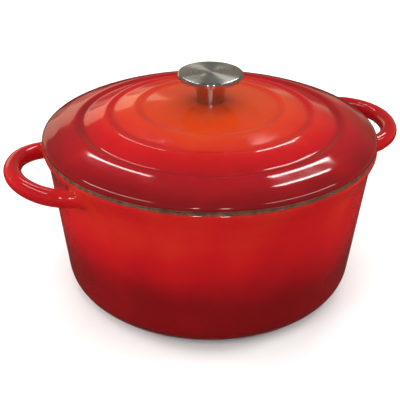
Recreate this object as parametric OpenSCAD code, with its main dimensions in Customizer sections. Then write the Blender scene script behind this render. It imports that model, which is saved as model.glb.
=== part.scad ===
// Round cast iron dutch oven with two loop handles, a stepped lid and a steel knob.
// Origin on the pot's axis at the plane that it stands on, +Z up, handles along X.

/* [Pot] */
// Height of the rim's flat top above the table
pot_h = 127; // [105:1:160]
// Outside radius of the rim
rim_r = 131; // [108:1:160]
// How far the rim flares out past the wall
rim_flare = 4.2; // [2:0.2:7]
// Height of the flare, measured down from the rim's top
flare_h = 14; // [9:0.5:22]
// Width of the rim's flat top, before its edges are rounded
rim_w = 6.2; // [5:0.2:9]
// Lean of the wall from upright, in degrees
wall_draft = 7; // [3:0.5:11]
// Thickness of the wall, both coats included
wall_t = 4.4; // [3.6:0.2:7]
// Thickness of the floor, both coats included
floor_t = 5; // [4:0.2:8]
// Outside radius of the corner between the wall and the floor
corner_r = 24; // [14:1:32]
// Height of the bare foot ring
foot_h = 1.5; // [1:0.1:3]
// Width of the bare foot ring
foot_w = 5; // [3:0.5:10]
// Distance from the foot ring to the start of the corner
foot_inset = 2; // [1:0.5:8]

/* [Enamel] */
// Thickness of one enamel coat
enamel_t = 0.4; // [0.3:0.05:0.7]
// Height of bare iron left at the pot's rim and at the lid's edge
bare_h = 1.6; // [1.2:0.1:2.5]

/* [Handles] */
// How far each loop stands out past the rim
handle_out = 32.4; // [24:0.2:45]
// Half the width of the loop, to the middle of the bar
handle_half_w = 44.4; // [38:0.2:50]
// Radius of the bar
handle_bar_r = 6.5; // [5:0.1:8]
// How much thicker the bar is round the loop's outer bend, on the radius
handle_grip = 0.3; // [0.2:0.05:0.8]
// Radius of the loop's outer bend, to the middle of the bar
handle_tip_r = 52; // [50:1:64]
// Radius of the loop's two side bends, to the middle of the bar
handle_side_r = 34; // [28:1:36]
// Depth of the bar's middle below the rim, at the wall
handle_drop = 11; // [10:0.5:20]
// Upward slope of the loops away from the wall, in degrees
handle_tilt = 5; // [0:0.5:6]
// How far the bar swells where it meets the wall
root_swell = 2; // [0.5:0.5:3]
// Length of that swelling
root_len = 8; // [5:0.5:12]

/* [Lid] */
// Height of the lid's rounded lip
lip_h = 5.4; // [4:0.2:8]
// Thickness of the lid, both coats included
lid_t = 4; // [3.4:0.2:6]
// Distance from the lid's edge to the outer crest
shoulder_w = 27; // [22:0.5:32]
// Distance from the outer crest to the middle crest
outer_terrace_w = 23.4; // [18:0.5:26]
// Distance from the middle crest to the inner crest
inner_terrace_w = 22.4; // [18:0.5:24]
// Height of the outer crest above the rim
outer_crest_h = 14.6; // [13:0.2:20]
// Rise from the outer crest to the middle crest
middle_rise = 6.8; // [5:0.2:9]
// Rise from the middle crest to the inner crest
inner_rise = 4; // [3:0.2:6]
// Rise from the inner crest to the knob's seat
centre_rise = 3.6; // [2.5:0.2:6]
// Width of the slope on the inner side of each crest
ripple_w = 5; // [3.5:0.5:7]
// Depth of that slope
ripple_d = 1.1; // [0.6:0.1:1.8]
// Radius of the flat seat for the knob
seat_r = 14; // [12.5:0.5:16]
// Depth of the locating rib below the rim
rib_h = 3.4; // [2:0.2:6]
// Thickness of the locating rib
rib_t = 2.6; // [2:0.2:4]
// Gap all round between the locating rib and the pot's mouth
rib_gap = 1.4; // [1:0.1:2.5]

/* [Knob] */
// Height of the knob above its seat
knob_h = 23.4; // [20:0.2:30]
// Radius of the knob's disc
knob_r = 25.8; // [20:0.2:32]
// Height of the cap's outer edge
cap_h = 4.8; // [4:0.2:7]
// Thickness of the cap's sheet
cap_t = 1.2; // [0.8:0.1:1.6]
// Radius of the stem at its foot
stem_r = 10.6; // [9:0.2:12]
// Radius of the stem just below the disc
stem_top_r = 13.4; // [12.4:0.2:15]
// Outside radius of the threaded insert
insert_r = 5; // [4.4:0.1:5.6]
// Length of the threaded insert
insert_l = 12; // [9:0.5:13]

/* [Screw] */
// Outside diameter of the screw's thread
screw_d = 6; // [5:0.5:6]
// Clearance round the screw in the lid's hole
hole_gap = 0.4; // [0.3:0.05:0.8]
// Clearance round the screw in its insert and washers
thread_gap = 0.05; // [0.02:0.01:0.1]
// Radius of the screw's head
head_r = 5.6; // [5:0.1:7]
// Height of the screw's head
head_h = 3.4; // [2.6:0.1:4.5]
// Radius of the flat washer
washer_r = 8; // [7:0.25:10]
// Thickness of the flat washer
washer_t = 1.2; // [0.8:0.1:2]
// Outside radius of the spring washer
spring_r = 5.4; // [4.8:0.1:6.5]
// Thickness of the spring washer
spring_t = 1.6; // [1:0.1:2.2]
// Width of the split in the spring washer
split_w = 1.2; // [0.8:0.1:2]

/* [Hidden] */
$fn = 96;

steps = 6;            // points along each rounded corner
over = 1;             // how far a cut runs past what it cuts
iron = "#4a4540";
red = "#c8232b";
cream = "#ded2b4";
steel = "#a9aaa4";
polished = "#c9cacb";
brass = "#b0904a";

// Pot
edge_round = 1.2;     // rounding of bare iron edges
wall_top_r = rim_r - rim_flare;
wall_top_z = pot_h - flare_h;
lean = tan(wall_draft);
base_r = wall_top_r - (wall_top_z - foot_h) * lean;
foot_out_r = base_r - corner_r * tan(45 - wall_draft / 2) - foot_inset;
foot_in_r = foot_out_r - foot_w;
mouth_r = rim_r - rim_w;
floor_z = foot_h + floor_t;
in_top_r = wall_top_r - wall_t;
in_base_r = in_top_r - (wall_top_z - floor_z) * lean;
in_corner_r = corner_r - wall_t;
flare_round = 16;     // bend from the wall into the flare
lip_round = 2.4;      // rounding at the widest part of the rim
coat_top_z = pot_h - bare_h;

// Handles
tip_x = rim_r + handle_out - handle_bar_r - handle_grip;
tip_centre_x = tip_x - handle_tip_r;
tip_half = asin((handle_half_w - handle_side_r) / (handle_tip_r - handle_side_r));
side_centre = [
    tip_centre_x + (handle_tip_r - handle_side_r) * cos(tip_half),
    (handle_tip_r - handle_side_r) * sin(tip_half)];
handle_z = pot_h - handle_drop;
leg_l = 7;            // straight end of the bar, buried in the wall
grip_lap = 1;         // degrees by which the outer bend laps over the side bends

// Lid
contact_z = pot_h;    // the lid's edge lies on the rim
lid_edge_z = contact_z + bare_h;
lip_z = contact_z + lip_h;
crest_r = [
    rim_r - shoulder_w - outer_terrace_w - inner_terrace_w,
    rim_r - shoulder_w - outer_terrace_w,
    rim_r - shoulder_w];
crest_z = [
    contact_z + outer_crest_h + middle_rise + inner_rise,
    contact_z + outer_crest_h + middle_rise,
    contact_z + outer_crest_h];
crest_round = 2;
valley_round = 6;
seat_round = 4;
shoulder_in = 13;     // the shoulder bends down to the lip this far in from the edge
shoulder_drop = 4;    // and this far below the outer crest
shoulder_round = 24;
lip_in = 2.4;         // start of the lip's rolled edge
lip_rise = 0.2;
lip_drop = 1.4;
under_round = 30;
rib_foot_h = 3;       // height above the rim where the rib leaves the underside
seat_z = crest_z[0] + centre_rise;
rib_r = mouth_r - rib_gap;
seat_extra = 0.6;     // the seat is a little thicker than the rest
under_z = seat_z - lid_t - seat_extra;
hole_r = screw_d / 2 + hole_gap;

// Knob and screw
knob_top_z = seat_z + knob_h;
cap_bottom_z = knob_top_z - cap_h;
cap_gap = 0.02;       // the cap is pressed over the stem's flange
flange_r = knob_r - cap_t - cap_gap;
flange_z = knob_top_z - cap_t;
thread_r = screw_d / 2 - thread_gap;
head_z = under_z - washer_t - spring_t;
screw_short = 1;      // the screw ends this far below the insert's top
screw_top_z = seat_z + insert_l - screw_short;
cap_round = 0.8;
cap_taper = 0.5;      // the cap's edge draws in by this much at the bottom
neck_h = 3;           // height of the stem's narrowest part above the seat
neck_round = 14;
flare_start = 2.4;    // depth below the cap where the stem flares out to it
stem_flare_round = 5;
flange_rise = 1;
head_bottom_round = 2.2;
head_top_round = 0.3;
recess_w = 1.2;       // width of each slot of the cross recess
recess_l = 5.6;
recess_d = 1.8;

// A corner [r, z, fillet] of an outline becomes an arc; the two ends stay as they are.
function unit(v) = v / norm(v);
function corner(a, b, c, fillet) =
    let (u = unit([a[0] - b[0], a[1] - b[1]]), v = unit([c[0] - b[0], c[1] - b[1]]),
         half = acos(max(-1, min(1, u * v))) / 2,
         room = 0.48 * min(norm([a[0] - b[0], a[1] - b[1]]), norm([c[0] - b[0], c[1] - b[1]])),
         reach = min(fillet / tan(half), room),
         r = reach * tan(half),
         mid = [b[0], b[1]] + unit(u + v) * r / sin(half),
         from = [b[0], b[1]] + u * reach - mid,
         to = [b[0], b[1]] + v * reach - mid,
         start = atan2(from[1], from[0]),
         turn = atan2(from[0] * to[1] - from[1] * to[0], from * to))
    [for (i = [0:steps]) mid + r * [cos(start + turn * i / steps), sin(start + turn * i / steps)]];
function rounded(p) = [
    for (i = [0:len(p) - 1])
        each (i == 0 || i == len(p) - 1 || p[i][2] == 0
            ? [[p[i][0], p[i][1]]]
            : corner(p[i - 1], p[i], p[i + 1], p[i][2]))];
function rest(p) = [for (i = [1:len(p) - 1]) p[i]];
function reversed(p) = [for (i = [len(p) - 1:-1:0]) p[i]];

// Outside of the pot, from the axis outwards and up; grow is 0 for the coat, negative for the iron
function pot_outside(grow) = rounded([
    [0, foot_h - grow, 0],
    [base_r + grow, foot_h - grow, corner_r + grow],
    [wall_top_r + grow, wall_top_z, flare_round],
    [rim_r + grow, coat_top_z - lip_round, lip_round],
    [rim_r + grow, coat_top_z, 0]]);

// Inside of the pot, from the floor outwards and up; depth is 0 for the coat, positive for the iron
function pot_inside(depth) = rounded([
    [0, floor_z - depth, 0],
    [in_base_r + depth, floor_z - depth, in_corner_r + depth],
    [in_top_r + depth, wall_top_z, flare_round],
    [mouth_r + depth, coat_top_z, 0]]);

// Top of the lid from the knob's seat out to the edge
function lid_top(from_r, grow) = rounded([
    [from_r, seat_z + grow, 0],
    [seat_r, seat_z + grow, seat_round],
    for (i = [0:2]) each [
        [crest_r[i] - ripple_w, crest_z[i] - ripple_d + grow, valley_round],
        [crest_r[i], crest_z[i] + grow, crest_round]],
    [rim_r - shoulder_in, crest_z[2] - shoulder_drop + grow, shoulder_round],
    [rim_r - lip_in + grow, lip_z + lip_rise + grow, crest_round],
    [rim_r + grow, lip_z - lip_drop, edge_round],
    [rim_r + grow, lid_edge_z, 0]]);

// Underside of the lid from the screw hole out to the locating rib
function lid_under(from_r, grow) = rounded([
    [from_r, under_z - grow, 0],
    [seat_r + seat_round, under_z - grow, under_round],
    [crest_r[1], crest_z[1] - lid_t - ripple_d - grow, under_round],
    [crest_r[2], crest_z[2] - lid_t - ripple_d - grow, under_round],
    [rib_r - rib_t - grow, contact_z + rib_foot_h - grow, crest_round],
    [rib_r - rib_t - grow, contact_z - rib_h - grow, 0],
    [rib_r + grow, contact_z - rib_h - grow, 0],
    [rib_r + grow, contact_z - enamel_t, 0]]);

// Pot

module pot_form(grow, top_z) {
    outline = pot_outside(grow);
    rotate_extrude()
        polygon(concat(outline, [[outline[len(outline) - 1][0], top_z], [0, top_z]]));
}

module pot_hollow() {
    outline = pot_inside(enamel_t);
    rotate_extrude()
        polygon(concat(outline, [[mouth_r + enamel_t, pot_h + over], [0, pot_h + over]]));
}

// The bar's end swells where it runs into the wall
module handle_root(r) {
    swell = rounded([
        [r - 1, root_len, 0],
        [r, 1, root_len],
        [r + root_swell, -over, 0]]);
    rotate([0, 90, 0])
        rotate_extrude()
            polygon(concat(swell, [[0, -over], [0, root_len]]));
}

module handle(grow) {
    r = handle_bar_r + grow;
    translate([wall_top_r, 0, handle_z]) rotate([0, -handle_tilt, 0]) translate([-wall_top_r, 0, 0]) {
        translate([tip_centre_x, 0, 0]) rotate([0, 0, -tip_half - grip_lap])
            rotate_extrude(angle = 2 * (tip_half + grip_lap))
                translate([handle_tip_r, 0]) circle(r + handle_grip);
        for (side = [0, 1]) mirror([0, side, 0]) {
            translate(side_centre) rotate([0, 0, tip_half])
                rotate_extrude(angle = 90 - tip_half) translate([handle_side_r, 0]) circle(r);
            translate([side_centre[0] - leg_l, handle_half_w, 0])
                rotate([0, 90, 0]) cylinder(h = leg_l, r = r);
            translate([side_centre[0], handle_half_w, 0]) handle_root(r);
        }
    }
}

module handles(grow) {
    for (side = [0, 1]) mirror([side, 0, 0]) handle(grow);
}

module pot_casting() color(iron) difference() {
    bare_z = foot_h + enamel_t;
    union() {
        rotate_extrude() polygon(concat(
            [[0, bare_z], [foot_in_r, bare_z], [foot_in_r, 0], [foot_out_r, 0], [foot_out_r, bare_z]],
            rest(pot_outside(-enamel_t)),
            rounded([
                [rim_r - enamel_t, coat_top_z, 0],
                [rim_r - enamel_t, pot_h, edge_round],
                [mouth_r + enamel_t, pot_h, 0]]),
            [[0, pot_h]]));
        handles(-enamel_t);
    }
    pot_hollow();
}

module pot_outer_enamel() color(red) difference() {
    union() {
        pot_form(0, coat_top_z);
        handles(0);
    }
    pot_form(-enamel_t, pot_h);
    handles(-enamel_t);
    translate([0, 0, -over]) difference() {
        cylinder(h = 2 * over + foot_h, r = foot_out_r);
        translate([0, 0, -over]) cylinder(h = 4 * over + foot_h, r = foot_in_r);
    }
}

module pot_inner_enamel() color(cream)
    rotate_extrude() polygon(concat(pot_inside(0), reversed(pot_inside(enamel_t))));

// Lid

module lid_casting() color(iron)
    rotate_extrude() polygon(concat(
        lid_top(hole_r, -enamel_t),
        rounded([
            [rim_r - enamel_t, lid_edge_z, 0],
            [rim_r - enamel_t, contact_z, edge_round],
            [rib_r, contact_z, 0]]),
        reversed(lid_under(hole_r, -enamel_t))));

module lid_outer_enamel() color(red)
    rotate_extrude() polygon(concat(lid_top(hole_r, 0), reversed(lid_top(hole_r, -enamel_t))));

module lid_inner_enamel() color(cream)
    rotate_extrude() polygon(concat(lid_under(hole_r, 0), reversed(lid_under(hole_r, -enamel_t))));

// Knob

module knob_cap() color(steel)
    rotate_extrude() polygon(concat(
        rounded([
            [0, knob_top_z, 0],
            [knob_r, knob_top_z, cap_round],
            [knob_r - cap_taper, cap_bottom_z, 0]]),
        [[flange_r + cap_gap, cap_bottom_z], [flange_r + cap_gap, flange_z], [0, flange_z]]));

module knob_stem() color(polished)
    difference() {
        rotate_extrude() polygon(concat(
            [[0, seat_z]],
            rounded([
                [stem_r, seat_z, 0],
                [stem_r, seat_z + neck_h, neck_round],
                [stem_top_r, cap_bottom_z - flare_start, stem_flare_round],
                [flange_r, cap_bottom_z + flange_rise, 0]]),
            [[flange_r, flange_z], [0, flange_z]]));
        translate([0, 0, seat_z - over]) cylinder(h = insert_l + over, r = insert_r + cap_gap);
    }

module knob_insert() color(brass) difference() {
    translate([0, 0, seat_z]) cylinder(h = insert_l, r = insert_r);
    translate([0, 0, seat_z - over]) cylinder(h = insert_l + 2 * over, r = screw_d / 2);
}

module knob_screw() color(steel) difference() {
    union() {
        translate([0, 0, head_z]) cylinder(h = screw_top_z - head_z, r = thread_r);
        rotate_extrude() polygon(rounded([
            [0, head_z, 0],
            [head_r, head_z, head_top_round],
            [head_r, head_z - head_h, head_bottom_round],
            [0, head_z - head_h, 0]]));
    }
    for (turn = [0, 90]) rotate([0, 0, turn])
        translate([-recess_l / 2, -recess_w / 2, head_z - head_h - over])
            cube([recess_l, recess_w, recess_d + over]);
}

module flat_washer() color(steel) translate([0, 0, under_z - washer_t]) difference() {
    cylinder(h = washer_t, r = washer_r);
    translate([0, 0, -over]) cylinder(h = washer_t + 2 * over, r = screw_d / 2 + thread_gap);
}

module spring_washer() color(steel) translate([0, 0, head_z]) difference() {
    cylinder(h = spring_t, r = spring_r);
    translate([0, 0, -over]) cylinder(h = spring_t + 2 * over, r = screw_d / 2 + thread_gap);
    translate([0, -split_w / 2, -over]) cube([spring_r + over, split_w, spring_t + 2 * over]);
}

pot_casting();
pot_outer_enamel();
pot_inner_enamel();
lid_casting();
lid_outer_enamel();
lid_inner_enamel();
knob_cap();
knob_stem();
knob_insert();
knob_screw();
flat_washer();
spring_washer();
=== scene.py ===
import math

import bmesh
import bpy
from mathutils import Matrix, Vector, noise


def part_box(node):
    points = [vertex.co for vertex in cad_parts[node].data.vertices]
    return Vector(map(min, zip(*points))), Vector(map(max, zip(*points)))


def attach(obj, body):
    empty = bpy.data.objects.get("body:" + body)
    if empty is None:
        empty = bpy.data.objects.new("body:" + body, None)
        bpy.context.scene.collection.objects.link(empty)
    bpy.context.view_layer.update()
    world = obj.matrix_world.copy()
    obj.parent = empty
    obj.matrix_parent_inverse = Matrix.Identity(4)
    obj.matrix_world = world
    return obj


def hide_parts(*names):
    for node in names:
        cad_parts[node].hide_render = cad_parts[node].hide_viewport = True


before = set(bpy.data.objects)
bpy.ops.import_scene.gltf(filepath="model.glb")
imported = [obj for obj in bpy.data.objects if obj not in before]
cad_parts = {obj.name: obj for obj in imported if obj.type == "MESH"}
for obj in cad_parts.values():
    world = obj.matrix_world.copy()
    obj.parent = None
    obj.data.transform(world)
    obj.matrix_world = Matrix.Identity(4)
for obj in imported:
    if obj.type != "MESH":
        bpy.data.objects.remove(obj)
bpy.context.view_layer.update()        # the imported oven, in metres, foot on z = 0, handles along X
mm = 0.001
print("frame loaded")

# places that every piece is built from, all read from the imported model
coatLow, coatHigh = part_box("pot_outer_enamel")
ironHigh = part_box("pot_casting")[1]
linerLow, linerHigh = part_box("pot_inner_enamel")
lidCoatLow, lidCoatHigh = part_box("lid_outer_enamel")
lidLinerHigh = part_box("lid_inner_enamel")[1]
capLow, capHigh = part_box("knob_cap")
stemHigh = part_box("knob_stem")[1]
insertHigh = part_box("knob_insert")[1]

rimR = coatHigh[1]                   # outside radius of the rim
rimZ = ironHigh[2]                   # flat top of the rim, where the lid lies
coatT = rimR - ironHigh[1]           # thickness of one enamel coat
coatTopZ = coatHigh[2]               # enamel stops here, bare iron above
footZ = coatLow[2]                   # underside of the base
mouthR = linerHigh[0] - coatT        # radius of the mouth
floorZ = linerLow[2] + coatT         # floor of the pot, on the enamel
loopEndX = coatHigh[0]               # outermost point of a handle
lidEdgeZ = lidCoatLow[2]             # lower edge of the lid's red coat
seatZ = lidCoatHigh[2]               # flat seat under the knob
ribR = lidLinerHigh[0]               # outside of the rib under the lid


def linear(code):   # sRGB hex to linear, with alpha
    steps = [int(code[i:i + 2], 16) / 255 for i in (1, 3, 5)]
    return [s / 12.92 if s <= 0.04045 else ((s + 0.055) / 1.055) ** 2.4 for s in steps] + [1.0]


# settings and links go to enabled sockets by name or number
def addNode(tree, kind, settings=None, links=None):
    node = tree.nodes.new(kind)

    def socket(key):
        if isinstance(key, int):
            return node.inputs[key]
        return next((s for s in node.inputs if s.name == key and s.enabled), None)

    for key, value in (settings or {}).items():
        if isinstance(key, str) and hasattr(node, key):
            setattr(node, key, value)
    for key, value in (settings or {}).items():
        if isinstance(key, int) or not hasattr(node, key):
            socket(key).default_value = value
    for key, source in (links or {}).items():
        tree.links.new(source, socket(key))
    return node


def newMaterial(name):
    material = bpy.data.materials.new(name)
    material.use_nodes = True
    material.node_tree.nodes.clear()
    return material, material.node_tree


def ramp(tree, factor, stops):   # stops are (position, hex colour) pairs
    node = addNode(tree, "ShaderNodeValToRGB", links={"Fac": factor})
    elements = node.color_ramp.elements
    while len(elements) < len(stops):
        elements.new(0.5)
    for element, (place, _) in zip(elements, stops):
        element.position = place
    for element, (_, code) in zip(elements, stops):
        element.color = linear(code)
    return node.outputs["Color"]


def finishMaterial(tree, shader):
    addNode(tree, "ShaderNodeOutputMaterial", links={"Surface": shader.outputs["BSDF"]})


def rounded(corners, steps=8):   # corners are (r, z, fillet) in metres; each fillet becomes an arc
    out = [Vector(corners[0][:2])]
    for before, here, after in zip(corners, corners[1:], corners[2:]):
        a, b, c = (Vector(p[:2]) for p in (before, here, after))
        if here[2] == 0:
            out.append(b)
            continue
        u, v = (a - b).normalized(), (c - b).normalized()
        half = u.angle(v) / 2
        reach = min(here[2] / math.tan(half), 0.48 * (a - b).length, 0.48 * (c - b).length)
        radius = reach * math.tan(half)
        middle = b + (u + v).normalized() * radius / math.sin(half)
        start, end = b + u * reach - middle, b + v * reach - middle
        first = math.atan2(start.y, start.x)
        turn = math.atan2(start.x * end.y - start.y * end.x, start.dot(end))
        for i in range(steps + 1):
            angle = first + turn * i / steps
            out.append(middle + radius * Vector((math.cos(angle), math.sin(angle))))
    out.append(Vector(corners[-1][:2]))
    return out


def resample(points, gap):   # even points along the outline, both ends kept
    spans = [(b - a).length for a, b in zip(points, points[1:])]
    count = max(2, round(sum(spans) / gap))
    out, k, done = [points[0].copy()], 0, 0.0
    for i in range(1, count):
        want = sum(spans) * i / count
        while done + spans[k] < want:
            done += spans[k]
            k += 1
        out.append(points[k].lerp(points[k + 1], (want - done) / spans[k]))
    return out + [points[-1].copy()]


def eased(points, gap, passes):   # evens the curvature so reflections run on smoothly
    line = resample(points, gap)
    for _ in range(passes):
        line = [line[0]] + [(a + 2 * b + c) / 4 for a, b, c in zip(line, line[1:], line[2:])] + [line[-1]]
    return line


# one node tree turns every round piece about the pot's axis

def latheTree():
    tree = bpy.data.node_groups.new("lathe", "GeometryNodeTree")
    tree.is_modifier = True
    for name, kind in (
            ("Outline", "Geometry"), ("Segments", "Int"), ("Weld", "Float"), ("Finish", "Material")):
        tree.interface.new_socket(name=name, in_out="INPUT", socket_type="NodeSocket" + kind)
    tree.interface.new_socket(name="Turned", in_out="OUTPUT", socket_type="NodeSocketGeometry")
    given = addNode(tree, "NodeGroupInput").outputs
    count = addNode(tree, "GeometryNodeAttributeDomainSize", {"component": "MESH"},
                    {"Geometry": given["Outline"]}).outputs["Point Count"]
    columns = addNode(tree, "ShaderNodeMath", {"operation": "ADD", 1: 1}, {0: given["Segments"]})
    grid = addNode(tree, "GeometryNodeMeshGrid", links={
        "Vertices X": columns.outputs[0], "Vertices Y": count})
    index = addNode(tree, "GeometryNodeInputIndex").outputs[0]
    row = addNode(tree, "ShaderNodeMath", {"operation": "MODULO"}, {0: index, 1: count})
    column = addNode(tree, "ShaderNodeMath", {"operation": "DIVIDE"}, {0: index, 1: count})
    whole = addNode(tree, "ShaderNodeMath", {"operation": "FLOOR"}, {0: column.outputs[0]})
    share = addNode(tree, "ShaderNodeMath", {"operation": "DIVIDE"},
                    {0: whole.outputs[0], 1: given["Segments"]})
    angle = addNode(tree, "ShaderNodeMath", {"operation": "MULTIPLY", 1: 2 * math.pi}, {0: share.outputs[0]})
    here = addNode(tree, "GeometryNodeInputPosition").outputs[0]
    point = addNode(tree, "GeometryNodeSampleIndex", {"data_type": "FLOAT_VECTOR"},
                    {"Geometry": given["Outline"], "Value": here, "Index": row.outputs[0]})
    turned = addNode(tree, "ShaderNodeVectorRotate", {"rotation_type": "Z_AXIS"},
                     {"Vector": point.outputs[0], "Angle": angle.outputs[0]})
    moved = addNode(tree, "GeometryNodeSetPosition", links={
        "Geometry": grid.outputs["Mesh"], "Position": turned.outputs[0]})
    welded = addNode(tree, "GeometryNodeMergeByDistance", links={
        "Geometry": moved.outputs[0], "Distance": given["Weld"]})
    real = addNode(tree, "GeometryNodeRealizeInstances", links={"Geometry": welded.outputs[0]})
    coated = addNode(tree, "GeometryNodeSetMaterial", links={
        "Geometry": real.outputs[0], "Material": given["Finish"]})
    addNode(tree, "NodeGroupOutput", links={"Turned": coated.outputs[0]})
    return tree


lathe = latheTree()


def setInputs(modifier, values):
    for item in modifier.node_group.interface.items_tree:
        if item.item_type == "SOCKET" and item.in_out == "INPUT" and item.name in values:
            modifier[item.identifier] = values[item.name]


weldGap = 0.001 * mm   # points closer than this are one point


def tidyMesh(mesh, sharp):   # outward normals, smooth faces, creases kept sharp
    work = bmesh.new()
    work.from_mesh(mesh)
    bmesh.ops.remove_doubles(work, verts=work.verts, dist=weldGap)
    bmesh.ops.dissolve_degenerate(work, edges=work.edges, dist=weldGap / 10)
    bmesh.ops.recalc_face_normals(work, faces=work.faces)
    for face in work.faces:
        face.smooth = True
    work.to_mesh(mesh)
    work.free()
    mesh.set_sharp_from_angle(angle=math.radians(sharp))


def turnedPiece(name, outline, material, segments=256, sharp=40):
    closed = outline if outline[0].x == 0 and outline[-1].x == 0 else outline + [outline[0]]
    mesh = bpy.data.meshes.new(name)
    mesh.from_pydata([(p.x, 0, p.y) for p in closed], [(i, i + 1) for i in range(len(closed) - 1)], [])
    piece = bpy.data.objects.new(name, mesh)
    bpy.context.scene.collection.objects.link(piece)
    turning = piece.modifiers.new("turning", "NODES")
    turning.node_group = lathe
    setInputs(turning, {"Segments": segments, "Weld": weldGap, "Finish": material})
    ready = piece.evaluated_get(bpy.context.evaluated_depsgraph_get())
    plain = bpy.data.meshes.new_from_object(ready)
    piece.modifiers.remove(turning)
    piece.data = plain
    plain.name = name
    plain.materials.clear()
    plain.materials.append(material)
    plain.polygons.foreach_set("material_index", [0] * len(plain.polygons))
    tidyMesh(plain, sharp)
    return piece


def sag(mesh, depth, size, keep=None):   # castings are never true: the skin drifts inwards by up to depth
    moved = []
    for vertex, normal in zip(mesh.vertices, [v.vector.copy() for v in mesh.vertex_normals]):
        drift = 0 if keep and keep(vertex.co) else 0.5 + 0.5 * noise.noise(vertex.co / size)
        moved.extend(vertex.co - normal * depth * min(1, max(0, drift)))
    mesh.vertices.foreach_set("co", moved)
    mesh.update()


# pot

pot = {
    "flare": 4.2 * mm, "flareHeight": 14 * mm, "draft": 7, "wall": 4.4 * mm,
    "corner": 24 * mm, "footWidth": 5 * mm, "footInset": 2 * mm,
    "flareBend": 16 * mm, "rimBead": 2.4 * mm, "coatEdge": 0.9 * mm, "bareRound": 1.5 * mm,
    "footRound": 0.6 * mm, "baseChamfer": 0.3 * mm, "filletSteps": 12, "baseSegments": 128,
    "outlineStep": 1.2 * mm, "easing": 4,
    "hiddenEasing": 3, "coatGap": 0.1 * mm, "waviness": 0.12 * mm, "waveSize": 45 * mm, "calmRim": 3 * mm,
    # height of the wall against how red the glaze is there, 0 orange to 1 darkest; the dark base is partly
    # the glaze's own gradient and partly painted shade
    "grades": [(43 * mm, 1.0), (55 * mm, 0.86), (69 * mm, 0.66), (83 * mm, 0.52), (97 * mm, 0.45),
               (127 * mm, 0.42)],
}
lean = math.tan(math.radians(pot["draft"]))
wallTopR = rimR - pot["flare"]
wallTopZ = rimZ - pot["flareHeight"]
baseR = wallTopR - (wallTopZ - footZ) * lean
footOutR = baseR - pot["corner"] * math.tan(math.radians(45 - pot["draft"] / 2)) - pot["footInset"]
footInR = footOutR - pot["footWidth"]
innerTopR = wallTopR - pot["wall"]
innerBaseR = innerTopR - (wallTopZ - floorZ) * lean


def potOutside(grow):
    return [
        (0, footZ - grow, 0),
        (baseR + grow, footZ - grow, pot["corner"] + grow),
        (wallTopR + grow, wallTopZ, pot["flareBend"]),
        (rimR + grow, coatTopZ - pot["rimBead"], pot["rimBead"])]


def potInside(depth):
    return [
        (0, floorZ - depth, 0),
        (innerBaseR + depth, floorZ - depth, pot["corner"] - pot["wall"] + depth),
        (innerTopR + depth, wallTopZ, pot["flareBend"])]


def fromFoot(line):   # leaves out what lies inside the foot ring
    return [Vector((footOutR, line[0].y))] + [p for p in line if p.x > footOutR + pot["coatGap"]]


edge = pot["coatEdge"]
outsideLine = fromFoot(eased(
    rounded(potOutside(0) + [(rimR, coatTopZ, edge), (rimR - edge, coatTopZ, 0)], pot["filletSteps"]),
    pot["outlineStep"] / 2, pot["easing"]))


def wallR(z):   # outside radius of the wall at a height
    for low, high in zip(outsideLine, outsideLine[1:]):
        if low.y <= z <= high.y and high.y > low.y:
            return low.x + (high.x - low.x) * (z - low.y) / (high.y - low.y)
    return rimR


# handles: one bar along a loop, each end flowing out into the wall
handle = {
    "halfWidth": 44.4 * mm, "across": 6.8 * mm, "upright": 6.75 * mm,
    "tipBend": 52 * mm, "sideBend": 34 * mm, "drop": 11 * mm, "tilt": 5,
    "tipSteps": 14, "sideSteps": 16, "legSteps": 24, "legStep": 1 * mm, "clear": 13 * mm,
    "flowOut": 8 * mm, "flowIn": 7 * mm, "flowUp": 3 * mm, "flowDown": 6 * mm,
    "around": 56, "flowRows": 14, "sunk": 1.2 * mm, "skim": 0.04 * mm, "tipGap": 0.02 * mm,
    # the glaze counts as the loop's above this height and this far off the wall
    "from": 90 * mm, "off": 2 * mm, "grades": [(0, 0.42), (14 * mm, 0.6), (32 * mm, 0.6)],
    "paintedShadeTop": -0.3, "paintedShadeEnd": 0.7, "paintedShadeGrade": 0.12,   # painted shade: darker red below the bar's middle, over these parts of the bar
}


# middle of the bar from above, tip first, then one side and its leg, with the outward direction
def loopLine():
    tilt = math.radians(handle["tilt"])
    tip = wallTopR + (loopEndX - handle["across"] - handle["tipGap"] - wallTopR) / math.cos(tilt)
    centre = tip - handle["tipBend"]
    gap = handle["tipBend"] - handle["sideBend"]
    tipHalf = math.asin((handle["halfWidth"] - handle["sideBend"]) / gap)
    side = Vector((centre + gap * math.cos(tipHalf), gap * math.sin(tipHalf)))
    line = []
    for i in range(handle["tipSteps"]):
        angle = tipHalf * i / handle["tipSteps"]
        out = Vector((math.cos(angle), math.sin(angle)))
        line.append((Vector((centre, 0)) + handle["tipBend"] * out, out))
    for i in range(handle["sideSteps"] + 1):
        angle = tipHalf + (math.pi / 2 - tipHalf) * i / handle["sideSteps"]
        out = Vector((math.cos(angle), math.sin(angle)))
        line.append((side + handle["sideBend"] * out, out))
    for i in range(1, handle["legSteps"] + 1):
        line.append((line[-1][0] - Vector((handle["legStep"], 0)), Vector((0, 1))))
    return line


def tilted(x, y, up):   # from the loop's own plane to its place on the pot
    tilt = math.radians(handle["tilt"])
    dx = x - wallTopR
    return Vector((wallTopR + dx * math.cos(tilt) - up * math.sin(tilt), y,
                   rimZ - handle["drop"] + dx * math.sin(tilt) + up * math.cos(tilt)))


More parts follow.
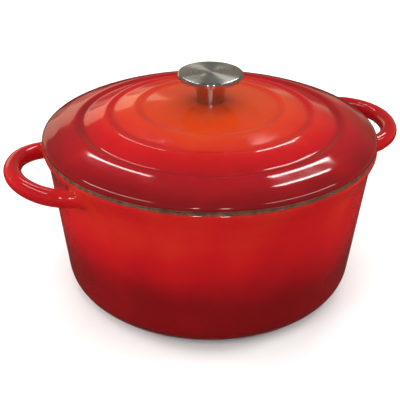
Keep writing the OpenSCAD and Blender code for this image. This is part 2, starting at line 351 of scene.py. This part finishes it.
def halfLoop():   # rings of points from the tip to inside the wall, on the +Y side
    line = loopLine()
    count = handle["around"]
    strings = []
    for j in range(count):
        turn = 2 * math.pi * j / count
        wide, up = handle["across"] * math.cos(turn), handle["upright"] * math.sin(turn)
        strings.append([tilted(*(middle + out * wide), up) for middle, out in line])

    def outside(p):
        return math.hypot(p.x, p.y) - wallR(p.z)

    hits, lengths = [], []
    for string in strings:
        k = next(i for i in range(len(string) - 1) if outside(string[i + 1]) < 0)
        a, b = string[k], string[k + 1]
        share = outside(a) / (outside(a) - outside(b))
        hits.append((k, a.lerp(b, share)))
        steps = [0.0]
        for p, q in zip(string, string[1:]):
            steps.append(steps[-1] + (q - p).length)
        lengths.append((steps, steps[k] + (hits[-1][1] - a).length))
    last = max(i for i in range(len(line)) if all(end - steps[i] > handle["clear"] for steps, end in lengths))
    rings = [[string[i] for string in strings] for i in range(last + 1)]
    for row in range(1, handle["flowRows"] + 1):
        ring = []
        for j, string in enumerate(strings):
            turn = 2 * math.pi * j / count
            wide, up = math.cos(turn), math.sin(turn)
            flow = (handle["flowOut"] if wide > 0 else handle["flowIn"]) * wide ** 2
            flow += (handle["flowUp"] if up > 0 else handle["flowDown"]) * up ** 2
            steps, end = lengths[j]
            at = steps[last] + (end - steps[last]) * row / handle["flowRows"]
            k = max(i for i in range(len(steps)) if steps[i] <= at)
            along = string[k].lerp(string[min(k + 1, len(string) - 1)],
                                   (at - steps[k]) / (steps[min(k + 1, len(steps) - 1)] - steps[k]))
            run = max(0, 1 - (end - at) / flow)
            hit = hits[j][1]
            facing = math.atan2(hit.y, hit.x)
            sideways = wide * math.cos(facing)
            z = min(hit.z + flow * run * up, coatTopZ - edge)
            facing += flow * run * sideways / hit.xy.length
            r = wallR(z) - handle["skim"] * run
            onWall = Vector((r * math.cos(facing), r * math.sin(facing), z))
            ring.append(along.lerp(onWall, run * run * (3 - 2 * run)))
        rings.append(ring)
    rings.append([p - p.xy.normalized().to_3d() * handle["sunk"] for p in rings[-1]])
    return rings


def handleMesh(side):   # side is 1 for the +X loop, -1 for the other
    half = halfLoop()
    count = handle["around"]
    rings = [[Vector((p.x, -p.y, p.z)) for p in ring] for ring in reversed(half[1:])] + half
    points = [Vector((p.x * side, p.y, p.z)) for ring in rings for p in ring]
    faces = []
    for i in range(len(rings) - 1):
        for j in range(count):
            k = (j + 1) % count
            faces.append((i * count + j, i * count + k, (i + 1) * count + k, (i + 1) * count + j))
    for start in (0, (len(rings) - 1) * count):
        points.append(sum(points[start:start + count], Vector()) / count)
        faces += [(start + j, start + (j + 1) % count, len(points) - 1) for j in range(count)]
    mesh = bpy.data.meshes.new("loop")
    mesh.from_pydata(points, [], faces)
    return mesh


def addMeshes(piece, meshes, sharp=40):
    work = bmesh.new()
    work.from_mesh(piece.data)
    for mesh in meshes:
        work.from_mesh(mesh)
        bpy.data.meshes.remove(mesh)
    work.to_mesh(piece.data)
    work.free()
    tidyMesh(piece.data, sharp)


def setGrade(piece, rule):   # how far the glaze has gone from orange to deep red at each point, with painted shade added where a rule puts it
    grade = piece.data.attributes.new("grade", "FLOAT", "POINT")
    grade.data.foreach_set("value", [rule(v.co) for v in piece.data.vertices])


def between(value, places):   # straight runs between (value, result) pairs
    if value <= places[0][0]:
        return places[0][1]
    for (a, x), (b, y) in zip(places, places[1:]):
        if value <= b:
            return x + (y - x) * (value - a) / (b - a)
    return places[-1][1]


# vitreous enamel, sprayed on in two shades and fired: a smooth glass skin with a faint orange peel
enamel = {
    "ior": 1.52, "roughLow": 0.05, "roughHigh": 0.1, "peelSize": 3.2, "peelDepth": 0.007 * mm,
    "driftSize": 38, "drift": 0.16, "speckSize": 0.9, "speck": 0.1, "wearSize": 14,   # sizes in mm
    "shades": [(0, "#B63C14"), (0.25, "#AF2A16"), (0.5, "#A31014"), (0.75, "#8A0C12"), (1, "#6A0A0E")],
}


def noiseTexture(tree, size, detail=2.0, rough=0.5, vector=None):   # size in mm
    place = vector or addNode(tree, "ShaderNodeTexCoord").outputs["Object"]
    return addNode(tree, "ShaderNodeTexNoise", {"Scale": 1000 / size, "Detail": detail, "Roughness": rough},
                   {"Vector": place})


def mapped(tree, source, low, high, start=0.3, end=0.7):
    return addNode(tree, "ShaderNodeMapRange", {
        "From Min": start, "From Max": end, "To Min": low, "To Max": high}, {"Value": source}).outputs[0]


redEnamel, tree = newMaterial("vitreous_enamel_red")
# the grade carries the glaze's gradient and also painted shade
grade = addNode(tree, "ShaderNodeAttribute", {"attribute_name": "grade"}).outputs["Fac"]
half = enamel["drift"] / 2
drift = mapped(tree, noiseTexture(tree, enamel["driftSize"], 3).outputs["Fac"], -half, half)
shade = addNode(tree, "ShaderNodeMath", {"operation": "ADD"}, {0: grade, 1: drift})
speck = mapped(tree, noiseTexture(tree, enamel["speckSize"], 2, 0.7).outputs["Fac"],
               0.0, enamel["speck"], 0.62, 0.75)
shade = addNode(tree, "ShaderNodeMath", {"operation": "ADD"}, {0: shade.outputs[0], 1: speck})
colour = ramp(tree, shade.outputs[0], enamel["shades"])
rough = mapped(tree, noiseTexture(tree, enamel["wearSize"], 3).outputs["Fac"],
               enamel["roughLow"], enamel["roughHigh"])
peel = addNode(tree, "ShaderNodeBump", {"Strength": 1.0, "Distance": enamel["peelDepth"]},
               {"Height": noiseTexture(tree, enamel["peelSize"], 2).outputs["Fac"]})
finishMaterial(tree, addNode(tree, "ShaderNodeBsdfPrincipled", {"IOR": enamel["ior"]}, {
    "Base Color": colour, "Roughness": rough, "Normal": peel.outputs[0]}))

# sand-coloured cover enamel inside, the same glass with small dark flecks
sand = {
    "light": "#E6D9BC", "dark": "#D5C4A0", "fleck": "#8E7A58", "fleckSize": 0.7, "ior": 1.52,
    "cloudSize": 30, "wearSize": 10, "roughLow": 0.1, "roughHigh": 0.2,
    "peelSize": 2.6, "peelDepth": 0.01 * mm,
}
sandEnamel, tree = newMaterial("vitreous_enamel_sand")
tone = ramp(tree, noiseTexture(tree, sand["cloudSize"], 3).outputs["Fac"],
            [(0.35, sand["light"]), (0.65, sand["dark"])])
fleck = mapped(tree, noiseTexture(tree, sand["fleckSize"], 1, 0.6).outputs["Fac"], 0, 0.5, 0.68, 0.74)
mixed = addNode(tree, "ShaderNodeMix", {"data_type": "RGBA", "B": linear(sand["fleck"])},
                {"Factor": fleck, "A": tone})
rough = mapped(tree, noiseTexture(tree, sand["wearSize"], 3).outputs["Fac"],
               sand["roughLow"], sand["roughHigh"])
peel = addNode(tree, "ShaderNodeBump", {"Strength": 1.0, "Distance": sand["peelDepth"]},
               {"Height": noiseTexture(tree, sand["peelSize"], 2).outputs["Fac"]})
finishMaterial(tree, addNode(tree, "ShaderNodeBsdfPrincipled", {"IOR": sand["ior"]}, {
    "Base Color": mixed.outputs["Result"], "Roughness": rough, "Normal": peel.outputs[0]}))

# bare cast iron, ground flat and oiled: a dull brown-black skin with grain from the sand mould,
# drawn coarser than the sand so that it shows
iron = {
    "dark": "#3B2A20", "brown": "#7C5540", "stainSize": 6, "wearSize": 2, "roughLow": 0.5, "roughHigh": 0.75,
    "grainSize": 0.8, "grainDepth": 0.05 * mm,
}
bareIron, tree = newMaterial("cast_iron_bare")
tone = ramp(tree, noiseTexture(tree, iron["stainSize"], 4, 0.65).outputs["Fac"],
            [(0.3, iron["dark"]), (0.62, iron["brown"])])
rough = mapped(tree, noiseTexture(tree, iron["wearSize"], 3).outputs["Fac"],
               iron["roughLow"], iron["roughHigh"])
grain = addNode(tree, "ShaderNodeBump", {"Strength": 1.0, "Distance": iron["grainDepth"]},
                {"Height": noiseTexture(tree, iron["grainSize"], 3).outputs["Fac"]})
finishMaterial(tree, addNode(tree, "ShaderNodeBsdfPrincipled", {"Metallic": 0.3}, {
    "Base Color": tone, "Roughness": rough, "Normal": grain.outputs[0]}))


def ringDistance(tree):   # distance from the pot's axis
    place = addNode(tree, "ShaderNodeTexCoord").outputs["Object"]
    flat = addNode(tree, "ShaderNodeVectorMath", {"operation": "MULTIPLY", 1: (1, 1, 0)}, {0: place})
    return addNode(tree, "ShaderNodeVectorMath", {"operation": "LENGTH"},
                   {0: flat.outputs[0]}).outputs["Value"]


# stainless steel, brushed in circles on a lathe: fine rings that smear highlights into a radial line;
# the rings are drawn coarser than the real ones, which are too fine to show
brushed = {
    "light": "#DCDCD4", "dark": "#BEBEB6", "ringSize": 0.25, "bandSize": 1.6, "ringDepth": 0.004 * mm,
    "roughLow": 0.3, "roughHigh": 0.42, "stretch": 0.85,
}
quarterTurn = 0.25   # lays the stretch of a highlight across the lathe's rings
brushedSteel, tree = newMaterial("stainless_steel_brushed")
radius = ringDistance(tree)
alongX = addNode(tree, "ShaderNodeCombineXYZ", links={"X": radius}).outputs[0]
alongY = addNode(tree, "ShaderNodeCombineXYZ", links={"Y": radius}).outputs[0]
rings = noiseTexture(tree, brushed["ringSize"], 2, 0.7, alongX)
bands = noiseTexture(tree, brushed["bandSize"], 3, 0.7, alongY)
tone = ramp(tree, bands.outputs["Fac"], [(0.35, brushed["dark"]), (0.65, brushed["light"])])
rough = mapped(tree, bands.outputs["Fac"], brushed["roughLow"], brushed["roughHigh"])
around = addNode(tree, "ShaderNodeTangent", {"direction_type": "RADIAL", "axis": "Z"}).outputs[0]
groove = addNode(tree, "ShaderNodeBump", {"Strength": 1.0, "Distance": brushed["ringDepth"]},
                 {"Height": rings.outputs["Fac"]})
finishMaterial(tree, addNode(tree, "ShaderNodeBsdfPrincipled", {
    "Metallic": 1.0, "Anisotropic": brushed["stretch"], "Anisotropic Rotation": quarterTurn}, {
    "Base Color": tone, "Roughness": rough, "Normal": groove.outputs[0], "Tangent": around}))


# turned is how far a lathe's rings stretch the highlights
def plainMetal(name, light, dark, roughs, size, depth, turned=0.0):
    metal, tree = newMaterial(name)
    tone = ramp(tree, noiseTexture(tree, size * 6, 3).outputs["Fac"], [(0.35, dark), (0.65, light)])
    rough = mapped(tree, noiseTexture(tree, size * 2, 3).outputs["Fac"], *roughs)
    mark = addNode(tree, "ShaderNodeBump", {"Strength": 1.0, "Distance": depth},
                   {"Height": noiseTexture(tree, size, 2).outputs["Fac"]})
    around = addNode(tree, "ShaderNodeTangent", {"direction_type": "RADIAL", "axis": "Z"}).outputs[0]
    finishMaterial(tree, addNode(tree, "ShaderNodeBsdfPrincipled", {
        "Metallic": 1.0, "Anisotropic": turned, "Anisotropic Rotation": quarterTurn}, {
        "Base Color": tone, "Roughness": rough, "Normal": mark.outputs[0], "Tangent": around}))
    return metal


# turned, then buffed: bright, with a soft streak laid across what is left of the lathe's rings
polishedSteel = plainMetal(
    "stainless_steel_polished", "#CFCFCB", "#BDBDB8", (0.14, 0.2), 2.0, 0.001 * mm, 0.8)
# turned brass, never seen once the knob is on
turnedBrass = plainMetal("brass_turned", "#C9A45C", "#B08A45", (0.25, 0.35), 0.6, 0.004 * mm)
# rolled and tumbled screw steel: soft satin
screwSteel = plainMetal("stainless_steel_satin", "#B4B4B0", "#9C9C98", (0.28, 0.4), 0.5, 0.006 * mm)
print("materials made")


# pot pieces
upper = resample(outsideLine, pot["outlineStep"])
ironEdge = coatTopZ - coatT
innerCoat = fromFoot(eased(rounded(potOutside(-coatT) + [(rimR - edge, ironEdge, 0)], pot["filletSteps"]),
                           pot["outlineStep"], pot["easing"]))
potCoat = turnedPiece("pot_outer_coat", upper + list(reversed(innerCoat)), redEnamel)
chamfer = pot["baseChamfer"]
baseDisc = turnedPiece("base", [
    Vector((0, footZ)), Vector((footInR - chamfer, footZ)),
    Vector((footInR, footZ + chamfer)), Vector((0, footZ + coatT))], redEnamel, pot["baseSegments"])
discMesh = baseDisc.data
bpy.data.objects.remove(baseDisc)
addMeshes(potCoat, [discMesh, handleMesh(1), handleMesh(-1)])
sag(potCoat.data, pot["waviness"], pot["waveSize"])


def potGrade(p):
    out = p.xy.length - wallR(p.z) - handle["off"]
    if out > 0 and p.z > handle["from"]:   # the loops get painted shade below, darker red under the bar
        barZ = rimZ - handle["drop"] + (abs(p.x) - wallTopR) * math.tan(math.radians(handle["tilt"]))
        underShade = between((barZ - p.z) / handle["upright"], [
            (handle["paintedShadeTop"], 0), (handle["paintedShadeEnd"], handle["paintedShadeGrade"])])
        return between(out, handle["grades"]) + underShade
    # darker towards the base: the glaze's gradient with painted shade
    return between(p.z, pot["grades"])


setGrade(potCoat, potGrade)

bareR = rimR - edge - pot["coatGap"]
hidden = (pot["outlineStep"] * 2, pot["hiddenEasing"])
ironTop = rounded([(bareR, ironEdge, 0), (bareR, rimZ, pot["bareRound"]),
                   (mouthR + edge, rimZ, pot["bareRound"]), (mouthR + edge, ironEdge, 0)])
ironInner = eased(rounded(potInside(coatT) + [(mouthR + edge, ironEdge, 0)], pot["filletSteps"]), *hidden)
ironOuter = fromFoot(eased(rounded(potOutside(-coatT) + [(bareR, ironEdge, 0)], pot["filletSteps"]), *hidden))
footLine = rounded([(footInR, footZ + coatT, 0), (footInR, 0, pot["footRound"]),
                    (footOutR, 0, pot["footRound"]), (footOutR, footZ, 0)])
ironLine = [Vector((0, footZ + coatT))] + footLine + ironOuter + ironTop[1:-1] + list(reversed(ironInner))
potIron = turnedPiece("pot_iron", ironLine, bareIron)

lineUp = eased(
    rounded(potInside(0) + [(mouthR, coatTopZ, edge), (mouthR + edge, coatTopZ, 0)], pot["filletSteps"]),
    pot["outlineStep"], pot["easing"])
potLiner = turnedPiece("pot_inner_coat", lineUp + list(reversed(ironInner)), sandEnamel)
sag(potLiner.data, -pot["waviness"] / 2, pot["waveSize"],
    lambda p: p.z > coatTopZ - pot["calmRim"] or p.z < floorZ - pot["coatGap"])
print("pot made")


# lid

lid = {
    "wall": 4 * mm, "lipHeight": 5.4 * mm,
    # the three ripples, outermost first: in from the rim, up from it, depth of groove, roundness of crest
    "ripples": [(27 * mm, 14.6 * mm, 1.6 * mm, 4.5 * mm), (50.4 * mm, 21.4 * mm, 1.1 * mm, 1.6 * mm),
                (72.8 * mm, 25.4 * mm, 1.1 * mm, 1.6 * mm)],
    "rippleWidth": 5 * mm, "rippleDepth": 1.1 * mm, "grooveRound": 2 * mm, "seatRound": 4 * mm,
    "segments": 288, "filletSteps": 10,
    # out to the lip: run, drop and rounding
    "flankRun": 4 * mm, "flankDrop": 0.9 * mm, "flankRound": 60 * mm,
    "shoulderIn": 12 * mm, "shoulderDrop": 4.3 * mm, "shoulderRound": 34 * mm,
    "lipIn": 1.8 * mm, "lipRise": 0.2 * mm, "lipRound": 2 * mm, "lipDrop": 1.6 * mm, "lipEdge": 1.6 * mm,
    "ribHeight": 3.4 * mm, "ribWidth": 2.6 * mm, "ribRoot": 3 * mm, "ribRound": 0.8 * mm, "rootRound": 2 * mm,
    "holeR": 3.4 * mm, "seatR": 14 * mm, "seatExtra": 0.6 * mm,
    "underRound": 30 * mm, "underSeatRound": 20 * mm,
    "outlineStep": 0.7 * mm, "easing": 6, "hiddenEasing": 3, "linerEasing": 2, "waviness": 0.1 * mm,
    "waveSize": 40 * mm, "edgeRound": 0.9 * mm, "calmEdge": 1 * mm,
    "grooveShade": 0.14, "grooveBlur": 4 * mm, "shadeInset": 0.6,   # painted shade in the ripples: how dark, how wide, and where in a ripple it lies
    # distance from the axis against how red the glaze is there
    "grades": [(20 * mm, 0.04), (58 * mm, 0.12), (72 * mm, 0.3), (88 * mm, 0.5), (101 * mm, 0.68),
               (114 * mm, 0.78), (127 * mm, 0.98)],
}
crests = [(rimR - inset, rimZ + height) for inset, height, _, _ in lid["ripples"]]
underZ = seatZ - lid["wall"] - lid["seatExtra"]


def lidTop(grow):
    line = [(lid["holeR"], seatZ + grow, 0), (lid["seatR"], seatZ + grow, lid["seatRound"])]
    for (r, z), (_, _, groove, crestRound) in reversed(list(zip(crests, lid["ripples"]))):
        line += [(r - lid["rippleWidth"], z - groove + grow, lid["grooveRound"]), (r, z + grow, crestRound)]
    r, z = crests[0]
    lipZ = rimZ + lid["lipHeight"]
    return line + [
        (r + lid["flankRun"], z - lid["flankDrop"] + grow, lid["flankRound"]),
        (rimR - lid["shoulderIn"], z - lid["shoulderDrop"] + grow, lid["shoulderRound"]),
        (rimR - lid["lipIn"] + grow, lipZ + lid["lipRise"] + grow, lid["lipRound"]),
        (rimR + grow, lipZ - lid["lipDrop"], lid["lipEdge"])]


def lidUnder(grow):
    depth = lid["wall"] + lid["rippleDepth"] + grow
    ribInR = ribR - lid["ribWidth"] - grow
    ribLowZ = rimZ - lid["ribHeight"] - grow
    return [
        (lid["holeR"], underZ - grow, 0),
        (lid["seatR"] + lid["seatRound"], underZ - grow, lid["underSeatRound"]),
        (crests[1][0], crests[1][1] - depth, lid["underRound"]),
        (crests[0][0], crests[0][1] - depth, lid["underRound"]),
        (ribInR, rimZ + lid["ribRoot"] - grow, lid["rootRound"]),
        (ribInR, ribLowZ, lid["ribRound"]), (ribR + grow, ribLowZ, lid["ribRound"])]


rolled = lid["edgeRound"]
topLine = eased(
    rounded(lidTop(0) + [(rimR, lidEdgeZ, rolled), (rimR - rolled, lidEdgeZ, 0)], lid["filletSteps"]),
    lid["outlineStep"], lid["easing"])
hidden = (lid["outlineStep"] * 2, lid["hiddenEasing"])
topBack = eased(rounded(lidTop(-coatT) + [(rimR - rolled, lidEdgeZ + coatT, 0)], lid["filletSteps"]), *hidden)
lidCoat = turnedPiece("lid_outer_coat", topLine + list(reversed(topBack)), redEnamel, lid["segments"])
sag(lidCoat.data, lid["waviness"], lid["waveSize"],
    lambda p: p.z < lidEdgeZ + lid["calmEdge"] or p.xy.length < lid["seatR"])


def lidGrade(p):
    r = p.xy.length
    shadeFade = [(0, lid["grooveShade"]), (lid["grooveBlur"], 0)]   # painted shade, darkest just inside each crest
    groove = max(between(abs(r - crest + lid["shadeInset"] * lid["rippleWidth"]), shadeFade) for crest, _ in crests)
    return groove + between(r, lid["grades"])


setGrade(lidCoat, lidGrade)

bareR = rimR - rolled - pot["coatGap"]
bareLine = rounded([(bareR, lidEdgeZ + coatT, 0), (bareR, rimZ, rolled), (ribR - coatT, rimZ, 0)])
ironTopLine = eased(rounded(lidTop(-coatT) + [(bareR, lidEdgeZ + coatT, 0)], lid["filletSteps"]), *hidden)
ironUnder = rounded(lidUnder(-coatT) + [(ribR - coatT, rimZ, 0)])
lidIron = turnedPiece("lid_iron", ironTopLine + bareLine[1:] + list(reversed(ironUnder))[1:], bareIron)

underLine = eased(rounded(lidUnder(0) + [(ribR, rimZ - coatT, 0)]), lid["outlineStep"], lid["linerEasing"])
underBack = eased(rounded(lidUnder(-coatT) + [(ribR - coatT, rimZ - coatT, 0)]),
                  lid["outlineStep"] * 2, lid["linerEasing"])
lidLiner = turnedPiece("lid_inner_coat", underLine + list(reversed(underBack)), sandEnamel)
print("lid made")


# knob

knob = {
    "sheet": 1.2 * mm, "crown": 0.4 * mm, "crownStart": 0.75, "crownDip": 0.1 * mm, "crownRound": 30 * mm,
    "edgeIn": 1.2 * mm, "rolled": 1.7 * mm, "edgeDrop": 2 * mm, "tuck": 0.5 * mm, "tuckRound": 0.7 * mm,
    "polishedFrom": 1.5 * mm, "fit": 0.02 * mm, "capStep": 0.25 * mm, "capSegments": 192, "capSharp": 50,
    "footR": 10.6 * mm, "neckR": 13.4 * mm, "neckHeight": 3 * mm, "neckRound": 14 * mm, "flareDrop": 2.4 * mm,
    "flareRound": 5 * mm, "flangeRise": 1 * mm, "insertR": 5.02 * mm, "stemStep": 0.5 * mm, "easing": 3,
    "stemSegments": 128,
}
capR, capTopZ, capLowZ = capHigh.x, capHigh.z, capLow.z
sheetZ = capTopZ - knob["sheet"]
capLine = resample(rounded([
    (0, capTopZ, 0), (capR * knob["crownStart"], capTopZ - knob["crownDip"], knob["crownRound"]),
    (capR - knob["edgeIn"], capTopZ - knob["crown"], knob["rolled"]),
    (capR, capTopZ - knob["edgeDrop"], knob["rolled"]), (capR - knob["tuck"], capLowZ, knob["tuckRound"]),
    (stemHigh.x + knob["fit"], capLowZ, 0)], 8), knob["capStep"])
capLine += [Vector((stemHigh.x + knob["fit"], sheetZ)), Vector((0, sheetZ))]
knobCap = turnedPiece("knob_top_cap", capLine, brushedSteel, knob["capSegments"], knob["capSharp"])
knobCap.data.materials.append(polishedSteel)
for face in knobCap.data.polygons:   # only the top is brushed, the rolled edge is polished
    if face.center.xy.length > capR - knob["polishedFrom"] or face.center.z < capTopZ - 2 * knob["crown"]:
        face.material_index = 1

stemLine = eased(rounded([
    (knob["footR"], seatZ, 0), (knob["footR"], seatZ + knob["neckHeight"], knob["neckRound"]),
    (knob["neckR"], capLowZ - knob["flareDrop"], knob["flareRound"]),
    (stemHigh.x, capLowZ + knob["flangeRise"], 0)], 12), knob["stemStep"], knob["easing"])
stemLine += [Vector((stemHigh.x, stemHigh.z)), Vector((0, stemHigh.z)), Vector((0, insertHigh.z)),
             Vector((knob["insertR"], insertHigh.z)), Vector((knob["insertR"], seatZ))]
knobStem = turnedPiece("knob_stem_turned", stemLine, polishedSteel, knob["stemSegments"])
print("knob made")

for piece, body, slotName, node in (
        (potCoat, "pot", "red_enamel", "pot_outer_enamel"),
        (potLiner, "pot", "sand_enamel", "pot_inner_enamel"),
        (potIron, "pot", "bare_iron", "pot_casting"),
        (lidCoat, "lid", "red_enamel", "lid_outer_enamel"),
        (lidLiner, "lid", "sand_enamel", "lid_inner_enamel"),
        (lidIron, "lid", "bare_iron", "lid_casting"),
        (knobCap, "lid", "brushed_steel", "knob_cap"),
        (knobStem, "lid", "polished_steel", "knob_stem")):
    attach(piece, body)
    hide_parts(node)
for node, metal in (("knob_insert", turnedBrass), ("knob_screw", screwSteel),
                    ("flat_washer", screwSteel), ("spring_washer", screwSteel)):
    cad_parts[node].data.materials.clear()
    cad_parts[node].data.materials.append(metal)


# stage

stage = {
    "floorSize": 9, "floorDrop": 0.2 * mm, "floorLight": "#F7F6F5", "floorDark": "#F4F3F1",
    # the room's colour from straight down, 0, to straight up, 1
    "room": [(0, "#383432"), (0.47, "#46403C"), (0.5, "#C0AE98"), (0.56, "#8A7664"), (0.62, "#8A7664"),
             (0.7, "#6C6866"), (1, "#666666")],
}
# painted board: matt, nearly white, so that it shows little but the shadow
paleFloor, tree = newMaterial("painted_board_pale")
tone = ramp(tree, noiseTexture(tree, 400, 2).outputs["Fac"],
            [(0.3, stage["floorDark"]), (0.7, stage["floorLight"])])
rough = mapped(tree, noiseTexture(tree, 60, 2).outputs["Fac"], 0.65, 0.8)
finishMaterial(tree, addNode(tree, "ShaderNodeBsdfPrincipled", {"Specular IOR Level": 0.2},
                             {"Base Color": tone, "Roughness": rough}))
mesh = bpy.data.meshes.new("floor")
half = stage["floorSize"] / 2
mesh.from_pydata([(-half, -half, 0), (half, -half, 0), (half, half, 0), (-half, half, 0)], [], [(0, 1, 2, 3)])
mesh.materials.append(paleFloor)
floor = bpy.data.objects.new("floor", mesh)
bpy.context.scene.collection.objects.link(floor)
floor.location.z = -stage["floorDrop"]
floor.visible_glossy = False   # keeps the pale floor from washing out the glaze

# the room: bright and warm near the horizon, dark above, so the lid mirrors little of it
world = bpy.data.worlds.new("room")
bpy.context.scene.world = world
world.use_nodes = True
tree = world.node_tree
tree.nodes.clear()
direction = addNode(tree, "ShaderNodeTexCoord").outputs["Generated"]
height = addNode(tree, "ShaderNodeSeparateXYZ", links={"Vector": direction}).outputs["Z"]
height = mapped(tree, height, 0, 1, -1, 1)
tone = ramp(tree, height, stage["room"])
sky = addNode(tree, "ShaderNodeBackground", {"Strength": 1.0}, {"Color": tone})
addNode(tree, "ShaderNodeOutputWorld", links={"Surface": sky.outputs[0]})

# the camera looks from 23.5 degrees round to the left of straight on; lights are placed in its own directions
camera = {
    "lens": 83.83, "sensor": 36, "roll": 0.448, "around": -23.5, "far": 50,
    "place": (-0.2683, -0.6166, 0.4273), "aim": (-0.0085, -0.0015, 0.0708),
}
facing = Matrix.Rotation(math.radians(camera["around"]), 3, "Z")


def addLight(name, place, aim, size, power, shown=True, colour="#FFFFFF", turn=0):
    light = bpy.data.lights.new(name, "AREA")
    light.shape = "RECTANGLE"
    light.size, light.size_y = size
    light.energy = power
    light.color = linear(colour)[:3]
    lamp = bpy.data.objects.new(name, light)
    bpy.context.scene.collection.objects.link(lamp)
    look = (Vector(aim) - Vector(place)).normalized()
    along = Vector((math.cos(math.radians(turn)), math.sin(math.radians(turn)), 0))
    across = look.cross(along).normalized()
    along = across.cross(look)
    grid = Matrix((along, -across, -look)).transposed()
    lamp.matrix_world = Matrix.Translation(facing @ Vector(place)) @ (facing @ grid).to_4x4()
    lamp.visible_glossy = shown
    return lamp


# soft fills for the body colour, kept out of the reflections
addLight("overhead", (0, 0.25, 1.7), (0, 0, 0.1), (1.6, 1.6), 19.5, shown=False)
addLight("front", (0.2, -1.3, 1.3), (0, -0.2, 0), (1.2, 1.2), 12, shown=False)
addLight("key", (-0.9, -1.0, 0.8), (0, 0, 0.1), (0.8, 0.8), 7, shown=False)
addLight("sideLeft", (-1.6, 0.6, 0.3), (0, 0, 0.06), (0.8, 0.6), 38, shown=False)
addLight("sideRight", (1.6, 0.6, 0.3), (0, 0, 0.06), (0.8, 0.6), 32, shown=False)
# narrow strips behind and above: the streaks on the ripples and the shoulder
addLight("stripRight", (0.429, 0.749, 1.061), (0, 0, 0.13), (0.42, 0.07), 1.6, turn=48.9)
addLight("stripLeft", (-0.429, 0.749, 1.061), (0, 0, 0.13), (0.45, 0.04), 0.95, turn=131.1)
addLight("stripShoulder", (0.49, 0.615, 1.128), (0, 0, 0.13), (0.42, 0.06), 1.4, turn=44.9)
# and at both sides: the lines along the lip, the rim and the handles
addLight("lineLeft", (-0.79, -0.07, 1.18), (0, 0, 0.13), (0.95, 0.07), 2.6, turn=123)
addLight("lineRight", (0.79, -0.07, 1.18), (0, 0, 0.13), (0.95, 0.07), 2.2, turn=57)
# two lamps beside the camera, mirrored in the knob, and a warm wall far behind on the left
addLight("lampLeft", (-0.16, -1.1, 0.85), (0, 0, 0.17), (0.09, 0.09), 1.0)
addLight("lampRight", (0.2, -1.1, 0.8), (0, 0, 0.17), (0.11, 0.11), 1.4)
addLight("warmWall", (-0.9, 1.9, 0.55), (0, 0, 0.1), (1.3, 0.5), 1.8, colour="#F2DCC0")

lensData = bpy.data.cameras.new("camera")
lensData.lens = camera["lens"]
lensData.sensor_width = camera["sensor"]
lensData.clip_end = camera["far"]
viewer = bpy.data.objects.new("camera", lensData)
bpy.context.scene.collection.objects.link(viewer)
place = Vector(camera["place"])
look = (Vector(camera["aim"]) - place).normalized()
right = look.cross(Vector((0, 0, 1))).normalized()
up = right.cross(look)
roll = math.radians(camera["roll"])
right, up = right * math.cos(roll) + up * math.sin(roll), up * math.cos(roll) - right * math.sin(roll)
viewer.matrix_world = Matrix.Translation(place) @ Matrix((right, up, -look)).transposed().to_4x4()
bpy.context.scene.camera = viewer
bpy.context.scene.view_settings.view_transform = "Standard"
print("stage lit")
